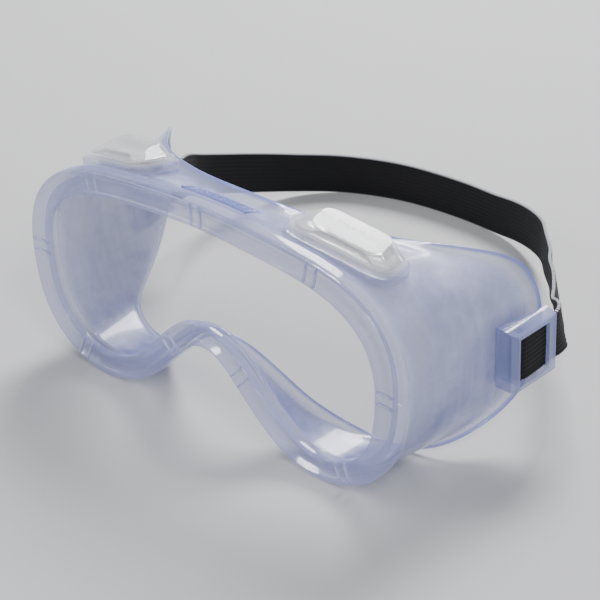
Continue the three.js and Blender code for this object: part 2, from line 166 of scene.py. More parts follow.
class Graph:
    """A material's node tree while it is built."""

    def __init__(self, name: str) -> None:
        """Starts an empty material of a name."""
        self.material = bpy.data.materials.new(name)
        self.material.use_nodes = True
        self.tree = self.material.node_tree
        self.tree.nodes.clear()

    def add(self, kind: str, settings: dict[str, Any], inputs: dict[Any, Any]) -> bpy.types.Node:
        """Adds a node of any kind.

        Args:
            kind: the node's type name.
            settings: the node's own properties, set before its inputs.
            inputs: a value, Value or output socket for each input name or number.

        Returns:
            The new node.
        """
        node = self.tree.nodes.new(kind)
        for name, value in settings.items():
            setattr(node, name, value)
        for key, value in inputs.items():
            source = value.socket if isinstance(value, Value) else value
            if isinstance(source, bpy.types.NodeSocket):
                self.tree.links.new(source, node.inputs[key])
            else:
                node.inputs[key].default_value = source
        return node

    def value(self, kind: str, settings: dict[str, Any], inputs: dict[Any, Any], out: Any = 0) -> Value:
        """Adds a node and gives one of its outputs as a Value."""
        return Value(self, self.add(kind, settings, inputs).outputs[out])

    def place(self, stretch: Stretch = (1, 1, 1)) -> bpy.types.NodeSocket:
        """Object coordinates, stretched along each axis."""
        coords = self.add("ShaderNodeTexCoord", {}, {}).outputs["Object"]
        return self.add("ShaderNodeMapping", {}, {"Vector": coords, "Scale": stretch}).outputs[0]

    def noise(self, scale: float, stretch: Stretch = (1, 1, 1), detail: float = 4) -> Value:
        """Fractal noise over the object, from 0 to 1."""
        inputs = {"Vector": self.place(stretch), "Scale": scale, "Detail": detail}
        return self.value("ShaderNodeTexNoise", {}, inputs)

    def blend(self, share: Any, low: Any, high: Any) -> bpy.types.NodeSocket:
        """Two colours mixed by a share."""
        ends = {key: (*c, 1.0) if isinstance(c, tuple) else c for key, c in ((6, low), (7, high))}
        return self.add("ShaderNodeMix", {"data_type": "RGBA"}, {0: share, **ends}).outputs[2]

    def bump(self, height: Value, strength: float, distance: float) -> bpy.types.NodeSocket:
        """The normal of a height in metres."""
        inputs = {"Height": height, "Strength": strength, "Distance": distance}
        return self.add("ShaderNodeBump", {}, inputs).outputs[0]

    def finish(self, shader: bpy.types.Node) -> bpy.types.Material:
        """Joins a shader to the output and gives the material."""
        self.add("ShaderNodeOutputMaterial", {}, {"Surface": shader.outputs[0]})
        return self.material


@dataclass(frozen=True)
class SoftVinyl:
    """Clear, slightly violet vinyl: glossy, frosted and mottled on its walls, denser at its edges, with
    painted edge light in a deeper blue at the rim bead, crease and flange tip, and painted light making the
    frosted walls paler towards the top.
    """

    name: str = "soft_vinyl"
    deep: Colour = (0.05, 0.08, 0.40)
    pale: Colour = (0.66, 0.69, 0.92)
    # Colour of the painted edge light at the rim bead, crease and flange tip.
    painted_edge_light_tint: Colour = (0.14, 0.20, 0.80)
    clear_cover: float = 0.27  # how much clear vinyl covers what is behind it
    frost_cover: float = 0.26  # how much more a frosted wall covers
    mottle_cover: float = 0.30
    edge_cover: float = 0.55  # how much more the painted edge light covers at the rim bead, crease and flange tip
    glancing_cover: float = 0.50
    full_painted_light_height: float = 70.0  # height where the painted light from above is palest and the painted shade, a deeper blue low on the walls, has faded, in millimetres
    streak: float = 0.25  # height of the flow marks, in millimetres

    def build(self) -> bpy.types.Material:
        """Makes the material.

        Returns:
            The finished material.
        """
        g = Graph(self.name)
        frost = g.value("ShaderNodeAttribute", {"attribute_name": "frost"}, {}, "Fac")
        # The edge attribute carries painted edge light: a deeper, denser blue at the rim bead, crease and
        # flange tip.
        edge = g.value("ShaderNodeAttribute", {"attribute_name": "edge"}, {}, "Fac")
        facing = g.value("ShaderNodeLayerWeight", {}, {"Blend": 0.42}, "Facing")
        parts = g.add("ShaderNodeSeparateXYZ", {}, {0: g.place()})
        # Painted light and shade: the frosted walls turn paler towards the top and deeper blue low down.
        height = (Value(g, parts.outputs[2]) / (self.full_painted_light_height * MM)).limited()
        patches = g.noise(44, (1.0, 1.0, 1.4), detail=8)
        streaks = g.noise(190, (1.0, 1.0, 0.16), detail=6)
        grain = g.noise(1100, detail=2)
        mottle = ((patches * 0.68 + streaks * 0.32 - 0.37) * 3.4).limited()
        # The wall's lightness mixes the random mottle with the painted light by height.
        mottle_and_painted_light = (mottle * 0.55 + height * 0.35) * frost + (1 - frost) * 0.62
        tint = g.blend(mottle_and_painted_light.limited(), self.deep, self.pale)
        cover = self.clear_cover + frost * (self.frost_cover + mottle * self.mottle_cover)
        cover = cover + edge * self.edge_cover + facing**2.2 * self.glancing_cover
        relief = streaks * 0.5 + patches * 0.35 + grain * 0.08
        shader = g.add(
            "ShaderNodeBsdfPrincipled",
            {},
            {
                "Base Color": g.blend(edge, tint, self.painted_edge_light_tint),
                "Roughness": 0.10 + frost * (0.20 + mottle * 0.15),
                "IOR": 1.52,
                "Transmission Weight": 0.15,
                "Coat Weight": 0.6,
                "Coat Roughness": 0.06,
                "Alpha": cover.limited(),
                "Normal": g.bump(relief * frost, 0.3, self.streak * MM),
            },
        )
        return g.finish(shader)


@dataclass(frozen=True)
class ClearPlastic:
    """Hard clear plastic, brighter at its edges."""

    name: str
    colour: Colour = (0.90, 0.92, 0.98)
    cover: float = 0.2
    edge_cover: float = 0.7
    roughness: float = 0.07
    ripple: float = 0.04  # height of its moulding ripple, in millimetres

    def build(self) -> bpy.types.Material:
        """Makes the material.

        Returns:
            The finished material.
        """
        g = Graph(self.name)
        facing = g.value("ShaderNodeLayerWeight", {}, {"Blend": 0.4}, "Facing")
        ripple = g.noise(60, detail=2)
        dust = g.noise(700, detail=3)
        cover = self.cover + facing**2.5 * self.edge_cover
        shader = g.add(
            "ShaderNodeBsdfPrincipled",
            {},
            {
                "Base Color": g.blend(dust, self.colour, (1.0, 1.0, 1.0)),
                "Roughness": self.roughness + dust * 0.06,
                "IOR": 1.58,
                "Transmission Weight": 0.3,
                "Coat Weight": 0.6,
                "Coat Roughness": 0.04,
                "Alpha": cover.limited(),
                "Normal": g.bump(ripple, 0.15, self.ripple * MM),
            },
        )
        return g.finish(shader)


@dataclass(frozen=True)
class RibbedElastic:
    """Black woven elastic with a light selvedge, on a UV map of metres along and share across."""

    name: str = "black_elastic"
    yarn: Colour = (0.0018, 0.0018, 0.002)
    worn: Colour = (0.012, 0.012, 0.014)
    thread: Colour = (0.70, 0.70, 0.74)
    pick: float = 1.15  # spacing of the weft, in millimetres
    ribs: int = 10
    selvedge: float = 0.022  # share of the width that its light edge takes

    def build(self) -> bpy.types.Material:
        """Makes the material.

        Returns:
            The finished material.
        """
        g = Graph(self.name)
        uv = g.add("ShaderNodeUVMap", {"uv_map": "weave"}, {}).outputs[0]
        parts = g.add("ShaderNodeSeparateXYZ", {}, {0: uv})
        along, across = Value(g, parts.outputs[0]), Value(g, parts.outputs[1])
        pick = (along * (2 * math.pi / (self.pick * MM))).wave()
        rib = (across * (2 * math.pi * self.ribs)).wave()
        weft = ((along * (4 * math.pi / (self.pick * MM))) + rib * 1.6).wave() * 0.5 + 0.5
        fuzz = g.noise(2600, detail=3)
        rim = (across - 0.5).size().above(0.5 - self.selvedge)
        dots = rim * pick.above(-0.1)
        cloth = g.blend((weft * 0.35 + fuzz * 0.5).limited(), self.yarn, self.worn)
        shader = g.add(
            "ShaderNodeBsdfPrincipled",
            {},
            {
                "Base Color": g.blend(dots * 0.8, cloth, self.thread),
                "Roughness": 0.66 + fuzz * 0.3,
                "Specular IOR Level": 0.25,
                "Sheen Weight": 0.04,
                "Sheen Roughness": 0.5,
                "Normal": g.bump(weft * 0.6 + fuzz * 0.4, 0.5, 0.12 * MM),
            },
        )
        return g.finish(shader)


@dataclass(frozen=True)
class PaleFloor:
    """Plain matt studio floor."""

    name: str = "pale_floor"
    colour: Colour = (0.50, 0.50, 0.51)

    def build(self) -> bpy.types.Material:
        """Makes the material.

        Returns:
            The finished material.
        """
        g = Graph(self.name)
        mottle = g.noise(40, detail=3)
        worn = tuple(c * 0.97 for c in self.colour)
        inputs = {"Base Color": g.blend(mottle, worn, self.colour), "Roughness": 0.8}
        shader = g.add("ShaderNodeBsdfPrincipled", {}, inputs)
        return g.finish(shader)


# ---- Mesh building ----------------------------------------------------------------------------


def lofted_grid(
    bm: bmesh.types.BMesh, rows: int, columns: int, place: Callable[[int, int], Vector]
) -> dict[bmesh.types.BMVert, tuple[int, int]]:
    """Makes a grid and puts each of its vertices in place.

    Args:
        bm: the mesh to add to.
        rows: steps along the first direction.
        columns: steps along the second direction.
        place: gives the point of a row and column.

    Returns:
        Each vertex's row and column.
    """
    made = bmesh.ops.create_grid(bm, x_segments=rows, y_segments=columns, size=0.5)["verts"]
    where = {v: (round((v.co.x + 0.5) * rows), round((v.co.y + 0.5) * columns)) for v in made}
    for v, (row, column) in where.items():
        v.co = place(row, column)
    return where


def close_up(bm: bmesh.types.BMesh, distance: float = TINY) -> None:
    """Merges doubles, closes open ends and points the faces outwards."""
    bmesh.ops.remove_doubles(bm, verts=bm.verts, dist=distance)
    bmesh.ops.holes_fill(bm, edges=[e for e in bm.edges if e.is_boundary], sides=0)
    bmesh.ops.recalc_face_normals(bm, faces=bm.faces)


def rounded_block(
    bm: bmesh.types.BMesh, size: Sequence[float], corner: float, rim: float, low: float = 0.0, steps: int = 8
) -> list[bmesh.types.BMVert]:
    """Adds a block with round upright corners and a softened top edge.

    Args:
        bm: the mesh to add to.
        size: length, width and height, in millimetres.
        corner: radius of the upright corners.
        rim: radius of the top edge.
        low: height of the underside.
        steps: facets of each corner.

    Returns:
        The block's vertices.
    """
    level = TINY / 10
    before = set(bm.verts)
    cube = bmesh.ops.create_cube(bm, size=1.0)["verts"]
    bmesh.ops.scale(bm, vec=Vector(size) * MM, verts=cube)
    bmesh.ops.translate(bm, vec=(0, 0, (low + size[2] / 2) * MM), verts=cube)
    sides = {e for v in cube for e in v.link_edges}
    upright = [e for e in sides if abs(e.verts[0].co.z - e.verts[1].co.z) > level]
    soften(bm, upright, corner, steps)
    fresh = [v for v in bm.verts if v not in before]
    top = max(v.co.z for v in fresh)
    edges = {e for v in fresh for e in v.link_edges if all(abs(w.co.z - top) < level for w in e.verts)}
    soften(bm, [e for e in edges if len({round(f.normal.z, 1) for f in e.link_faces}) > 1], rim, 3)
    return [v for v in bm.verts if v not in before]


def soften(bm: bmesh.types.BMesh, edges: Sequence[bmesh.types.BMEdge], radius: float, steps: int) -> None:
    """Bevels edges.

    Args:
        bm: the mesh that they belong to.
        edges: the edges.
        radius: radius of the bevel, in millimetres.
        steps: its facets.
    """
    bm.normal_update()
    bmesh.ops.bevel(
        bm, geom=list(edges), offset=radius * MM, offset_type="OFFSET", affect="EDGES",
        segments=steps, profile=0.5, clamp_overlap=True, material=-1,
    )
    bm.normal_update()


class Piece:
    """One shown piece: a mesh, its finish and the CAD body that it rides on."""

    def __init__(self, name: str, bm: bmesh.types.BMesh, finish: bpy.types.Material, slot: Slot) -> None:
        """Makes the object from a bmesh and frees the bmesh.

        Args:
            name: the piece's name.
            bm: its mesh.
            finish: its material.
            slot: the record's slot for it; not used.
        """
        mesh = bpy.data.meshes.new(name)
        bm.to_mesh(mesh)
        bm.free()
        mesh.shade_smooth()
        mesh.materials.append(finish)
        self.object = bpy.data.objects.new(name, mesh)
        bpy.context.scene.collection.objects.link(self.object)
        LOG.info("built %s with %d faces", name, len(mesh.polygons))

    def modifier(self, kind: str, **settings: Any) -> "Piece":
        """Adds a modifier with its settings."""
        made = self.object.modifiers.new(kind.lower(), kind)
        for name, value in settings.items():
            setattr(made, name, value)
        return self

    def subdivided(self, level: int) -> "Piece":
        """Adds a subdivision surface."""
        return self.modifier("SUBSURF", levels=level, render_levels=level)

    def crisp(self, angle: float = 32) -> "Piece":
        """Keeps the shading hard across edges sharper than an angle in degrees."""
        self.object.data.set_sharp_from_angle(angle=math.radians(angle))
        return self

    def ride(self, body: str, *nodes: str) -> "Piece":
        """Rides on a body and stands for CAD nodes."""
        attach(self.object, body)
        if nodes:
            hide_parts(*nodes)
        return self


def softened_copy(node: str, name: str, finish: bpy.types.Material, slot: Slot, soft: float) -> Piece:
    """Makes a merged copy of a CAD node with softened edges.

    Args:
        node: the CAD node.
        name: the new piece's name.
        finish: its material.
        slot: the record's slot for it.
        soft: radius of its edges, in millimetres.

    Returns:
        The new piece.
    """
    bm = bmesh.new()
    bm.from_mesh(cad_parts[node].data)
    bmesh.ops.remove_doubles(bm, verts=bm.verts, dist=1e-6)
    bmesh.ops.dissolve_limit(bm, angle_limit=math.radians(2), verts=bm.verts, edges=bm.edges)
    for layer in list(bm.loops.layers.uv.values()):
        bm.loops.layers.uv.remove(layer)
    piece = Piece(name, bm, finish, slot)
    piece.modifier("BEVEL", width=soft * MM, segments=3, limit_method="ANGLE", angle_limit=math.radians(30))
    return piece.modifier("WEIGHTED_NORMAL", keep_sharp=True)


# ---- Curves -----------------------------------------------------------------------------------


@dataclass(frozen=True)
class SmoothLine:
    """A centripetal curve through points, open or closed."""

    points: tuple[Vector, ...]
    closed: bool = False

    def at(self, t: float) -> Vector:
        """The point at a share of the way.

        Args:
            t: from 0 to 1.

        Returns:
            The point.
        """
        count = len(self.points)
        place = (t % 1.0 if self.closed else min(max(t, 0.0), 1.0)) * (count if self.closed else count - 1)
        index = min(int(place), count - 1 if self.closed else count - 2)
        a, b, c, d = (self._point(index + k) for k in (-1, 0, 1, 2))
        gaps = [max((q - p).length ** 0.5, 1e-6) for p, q in ((a, b), (b, c), (c, d))]
        first = ((b - a) / gaps[0] - (c - a) / (gaps[0] + gaps[1]) + (c - b) / gaps[1]) * gaps[1]
        last = ((c - b) / gaps[1] - (d - b) / (gaps[1] + gaps[2]) + (d - c) / gaps[2]) * gaps[1]
        w = place - index
        square, cube = w * w, w * w * w
        return b + first * w + (3 * (c - b) - 2 * first - last) * square + (2 * (b - c) + first + last) * cube

    def _point(self, index: int) -> Vector:
        """A control point, continued past the ends.

        Args:
            index: its number, below 0 or past the last as well.

        Returns:
            The point.
        """
        count = len(self.points)
        if self.closed:
            return self.points[index % count]
        if index < 0:
            return self.points[0] * 2 - self.points[1]
        if index >= count:
            return self.points[-1] * 2 - self.points[-2]
        return self.points[index]

    def heading(self, t: float) -> Vector:
        """The unit direction at a share of the way."""
        step = 1e-4
        return (self.at(t + step) - self.at(t - step)).normalized()


# ---- Body -------------------------------------------------------------------------------------

# Half outlines from the brow's middle, round the wearer's left, to the nose: x, depth, height.
RIM = (
    (0, 80.5), (25, 79.2), (50.5, 76.3), (65.3, 71.2), (76, 62), (80.6, 50.5), (81, 38.5), (78.8, 24.5),
    (72.5, 13.7), (62, 6.9), (50, 4.9), (38, 8), (27, 15.8), (17, 26), (8, 33.4), (0, 35.3),
)
CREASE = (
    (0, 17, 80), (25, 20.5, 79.3), (50, 33, 75.6), (65.5, 45.5, 71), (79.3, 60, 63.7), (84.6, 65.5, 53.5),
    (85.2, 67.5, 40.5), (84.6, 60.5, 23), (79.5, 47.5, 11.5), (70.5, 33, 5.2), (56, 27, 1.3), (40, 21.5, 3.6),
    (27, 17, 11), (16.5, 12.5, 20.5), (7.5, 10.4, 27.6), (0, 10, 30),
)
FLANGE = (
    (0, 24, 81.5), (26.5, 28.5, 78.8), (52.5, 39.5, 74.7), (68, 53, 71.2), (81.5, 67, 65), (87, 70.5, 55.5),
    (88, 72, 40.5), (87.5, 65.5, 22), (83, 54, 11), (74, 38, 3.6), (61, 32, 0.3), (45, 27, 4),
    (31.5, 20, 12.8), (20.5, 16, 22), (10.5, 13.4, 28.6), (0, 12.4, 30.8),
)
TAB_PLACES = (0, 2, 5.7, 9, 13)  # places of the lens tabs, counted in outline points


class Outlines:
    """The body's three outlines, placed so that the widest one fits the CAD body's box."""

    def __init__(self) -> None:
        """Reads the CAD body's box."""
        low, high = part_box("goggle_body")
        self.shift = Vector(((low.x + high.x) / 2, low.y, 0))
        self.rim = self._whole([(x, 0, z) for x, z in RIM])
        self.crease = self._whole(CREASE)
        self.flange = self._whole(FLANGE)
        self.spans = len(self.rim.points)

    def _whole(self, half: Sequence[tuple[float, float, float]]) -> SmoothLine:
        """Mirrors a half outline into a closed line, in metres."""
        points = [Vector(p) * MM for p in half]
        other = [Vector((-p.x, p.y, p.z)) for p in reversed(points[1:-1])]
        return SmoothLine(tuple(p + self.shift for p in points + other), closed=True)

    def outward(self, line: SmoothLine, t: float) -> Vector:
        """The outward direction of an outline, seen from the front."""
        heading = line.heading(t)
        return Vector((-heading.z, 0, heading.x)).normalized()

    def beside_rim(self, t: float, out: float, back: float) -> Vector:
        """A point out from the rim's centreline and back from its face, in millimetres.

        Args:
            t: share of the way round.
            out: distance outwards.
            back: distance behind the front face.

        Returns:
            The point in the row frame.
        """
        point = self.rim.at(t) + self.outward(self.rim, t) * out * MM
        point.y = self.shift.y + back * MM
        return point

    def vent_frame(self, side: Side) -> Matrix:
        """The frame of a vent seat: X along the brow, Y back along the wall, Z out of the wall.

        Args:
            side: the wearer's side.

        Returns:
            The frame, mirrored on the wearer's right.
        """
        t = Vents.place / self.spans
        front = self.beside_rim(t, Vents.wall_out, Vents.rim_depth)
        rear = self.crease.at(t)
        back = (rear - front).normalized()
        along = self.rim.heading(t)
        along.y = 0
        out = along.normalized().cross(back).normalized()
        across = back.cross(out).normalized()
        frame_ = Matrix((across, back, out)).transposed().to_4x4()
        frame_.translation = front.lerp(rear, Vents.along)
        frame_ = frame_ @ Matrix.Rotation(math.radians(Vents.yaw), 4, "Z")
        if side is Side.LEFT:
            return frame_
        middle = Matrix.Translation((self.shift.x, 0, 0))
        return middle @ Matrix.Diagonal((-1, 1, 1, 1)) @ middle.inverted() @ frame_


@dataclass
class Body:
    """The one-piece moulding: rim, walls, face flange, and the ribs and mark on it."""

    outlines: Outlines
    finish: bpy.types.Material
    raised: bpy.types.Material  # lighter, denser vinyl of the tab ribs: painted glints on the lens tab lines
    inked: bpy.types.Material  # the denser look of the brow's mark
    stations: int = 3  # sections between two outline points
    hole: tuple[float, float, float] = (28.6, 10.0, 3.3)  # length, width and corner of a vent's hole
    hole_depth: float = 14.0
    # share of painted edge light on the rim's bead
    bead_painted_edge_light: float = 0.18
    wall: float = 1.8
    wall_out: float = 3.4
    tip: float = 1.2
    # Front and back of the rim's section: out from its centreline and back from its face.
    front: tuple[tuple[float, float], ...] = (
        (-4.2, 2.0), (-4.2, 0.8), (-3.9, 0.1), (-3.2, 0.0), (-2.6, 0.3), (-2.2, 0.9), (0, 0.95), (1.6, 0.9),
        (2.1, 0.3), (2.7, 0.0), (3.6, 0.0), (4.6, 0.4), (5.2, 1.4), (5.2, 3.4), (5.2, 5.6), (4.6, 7.0),
        (3.8, 7.8),
    )
    back: tuple[tuple[float, float], ...] = (
        (1.6, 9.0), (-0.6, 8.3), (-1.8, 7.6), (-1.9, 5.9), (0.2, 5.8), (1.5, 5.8), (1.5, 4.6), (1.5, 3.4),
        (-1.2, 3.4), (-3.6, 3.4), (-4.1, 3.0),
    )
    ridge: float = 0.7  # width of the two ribs beside each lens tab
    ridge_gap: float = 4.2
    rib_out: float = 0.4
    channel: float = 0.85  # depth of the channel in the rim's front
    mark: tuple[float, float] = (30.0, 8.6)  # length and width of the raised mark on the brow
    shares: tuple[float, ...] = (0.06, 0.3, 0.6, 0.88)  # places of the wall's points, front to back

    def section(self, t: float) -> list[tuple[Vector, float, float]]:
        """One closed section, as points with their frosting and their share of painted edge light.

        Args:
            t: share of the way round.

        Returns:
            The section's points, from the inner front edge round the outside.
        """
        lines = self.outlines
        crease, flange = lines.crease.at(t), lines.flange.at(t)
        crease_in = crease - lines.outward(lines.crease, t) * self.wall * MM
        flange_in = flange - lines.outward(lines.flange, t) * self.tip * MM
        root = lines.beside_rim(t, self.wall_out, 8.6)
        root_in = lines.beside_rim(t, self.wall_out - self.wall, 9.2)
        tip = flange.lerp(flange_in, 0.5) + (flange - crease) * 0.02
        # Each point's last value is its share of painted edge light: some on the rim's bead, a little on the
        # crease, all of it on the flange tip.
        points = [(lines.beside_rim(t, *p), 0.0, self.bead_painted_edge_light) for p in self.front]
        points += [(root.lerp(crease, s), 0.35 if s < 0.1 else 1.0, 0.0) for s in self.shares]
        points += [(crease, 0.6, 0.1), (crease.lerp(flange, 0.35), 0.15, 0.0)]
        points += [(crease.lerp(flange, 0.82), 0.0, 0.0)]
        points += [(flange, 0.0, 1.0), (tip, 0.0, 1.0), (flange_in, 0.0, 1.0)]
        points += [(flange_in.lerp(crease_in, 0.18), 0.0, 0.0), (flange_in.lerp(crease_in, 0.65), 0.15, 0.0)]
        points += [(crease_in, 0.6, 0.1)]
        points += [(crease_in.lerp(root_in, s), 1.0, 0.0) for s in (0.12, 0.45, 0.75, 0.95)]
        points += [(lines.beside_rim(t, *p), 0.0, self.bead_painted_edge_light) for p in self.back]
        return points

    def moulding(self) -> Piece:
        """Lofts the section round the outlines."""
        count = self.outlines.spans * self.stations
        sections = [self.section(i / count) for i in range(count)]
        around = len(sections[0])
        bm = bmesh.new()
        layers = [bm.verts.layers.float.new(name) for name in ("frost", "edge")]
        where = lofted_grid(bm, count, around, lambda i, j: sections[i % count][j % around][0])
        for v, (i, j) in where.items():
            v[layers[0]], v[layers[1]] = sections[i % count][j % around][1:]
            v.co.z = max(v.co.z, 0.0)
        close_up(bm)
        piece = Piece("body_moulding", bm, self.finish, Slot.VINYL).subdivided(2)
        self._cut_vents(piece)
        return piece.ride("goggles", "goggle_body")

    def _cut_vents(self, piece: Piece) -> None:
        """Cuts the sleeves' holes through the wall and keeps the result as the piece's mesh.

        Args:
            piece: the body's moulding.
        """
        length, width, corner = self.hole
        cutters = []
        for side in Side:
            bm = bmesh.new()
            rounded_block(bm, (length, width, self.hole_depth), corner, 0.05, low=2 - self.hole_depth)
            bmesh.ops.transform(bm, matrix=self.outlines.vent_frame(side), verts=bm.verts)
            bmesh.ops.recalc_face_normals(bm, faces=bm.faces)
            mesh = bpy.data.meshes.new("cutter")
            bm.to_mesh(mesh)
            bm.free()
            cutter = bpy.data.objects.new("cutter", mesh)
            bpy.context.scene.collection.objects.link(cutter)
            cutters.append(cutter)
            piece.modifier("BOOLEAN", object=cutter, operation="DIFFERENCE", solver="EXACT")
        shown = piece.object.evaluated_get(bpy.context.evaluated_depsgraph_get())
        mesh = bpy.data.meshes.new_from_object(shown)
        piece.object.modifiers.clear()
        piece.object.data = mesh
        for cutter in cutters:
            bpy.data.objects.remove(cutter)

    def tab_ribs(self) -> Piece:
        """Adds the pairs of small ribs across the rim at each lens tab."""
        bm = bmesh.new()
        lines = self.outlines
        places = {p / lines.spans for p in TAB_PLACES} | {1 - p / lines.spans for p in TAB_PLACES if p}
        for t in sorted(places):
            out = lines.outward(lines.rim, t)
            turn = Matrix.Rotation(math.atan2(out.x, out.z), 4, "Y")
            centre = lines.beside_rim(t, self.rib_out, self.channel)
            for side in (-1, 1):
                rib = rounded_block(bm, (self.ridge, 8.2, 0.9), 0.2, 0.12, low=-0.45, steps=3)
                # The rib's long side lies across the rim and its top faces the front.
                lay = Matrix.Rotation(math.radians(90), 4, "X") @ Matrix.Translation(
                    (side * self.ridge_gap / 2 * MM, 0, 0)
                )
                bmesh.ops.transform(bm, matrix=Matrix.Translation(centre) @ turn @ lay, verts=rib)
        for v in bm.verts:
            v.co.y = max(v.co.y, lines.shift.y)
        # The ribs take the lighter vinyl of the painted glints.
        return Piece("tab_ribs", bm, self.raised, Slot.VINYL).ride("goggles")

    def brow_mark(self) -> Piece:
        """Adds a generic raised mark to the brow: a border round three rows of bars."""
        bm = bmesh.new()
        length, width = self.mark
        line = 0.5
        bars = [(0, s * (width / 2 - line), length, line) for s in (-1, 1)]
        bars += [(s * (length / 2 - line), 0, line, width - line) for s in (-1, 1)]
        for row, (count, long) in enumerate(((6, 3.2), (4, 5.2), (7, 2.6))):
            pitch = (length - 4) / count
            bars += [((k - (count - 1) / 2) * pitch, (1 - row) * 2.1, long, 0.8) for k in range(count)]
        for x, y, long, wide in bars:
            block = rounded_block(bm, (long, wide, 0.9), 0.2, 0.15, low=-0.3, steps=2)
            bmesh.ops.translate(bm, vec=(x * MM, y * MM, 0), verts=block)
        lines = self.outlines
        front, rear = lines.beside_rim(0, self.wall_out, 8.6), lines.crease.at(0)
        back = (rear - front).normalized()
        out = Vector((1, 0, 0)).cross(back)
        basis = Matrix((Vector((1, 0, 0)), back, out)).transposed().to_4x4()
        basis.translation = front.lerp(rear, 0.5)
        bmesh.ops.subdivide_edges(bm, edges=[e for e in bm.edges if e.calc_length() > 2 * MM], cuts=6)
        bmesh.ops.transform(bm, matrix=basis, verts=bm.verts)
        for v in bm.verts:
            v.co += self._brow_rise(v.co)
        return Piece("brow_mark", bm, self.inked, Slot.VINYL).ride("goggles")

    def _brow_rise(self, point: Vector) -> Vector:
        """How far the brow's wall lies from its middle height.

        Args:
            point: a point whose x is used.

        Returns:
            The rise there.
        """
        lines = self.outlines
        t = (point.x - lines.shift.x) / (25 * MM) / lines.spans
        wall = lines.beside_rim(t, self.wall_out, 8.6).lerp(lines.crease.at(t), 0.5)
        middle = lines.beside_rim(0, self.wall_out, 8.6).lerp(lines.crease.at(0), 0.5)
        return Vector((0, 0, wall.z - middle.z))


# ---- Vents ------------------------------------------------------------------------------------


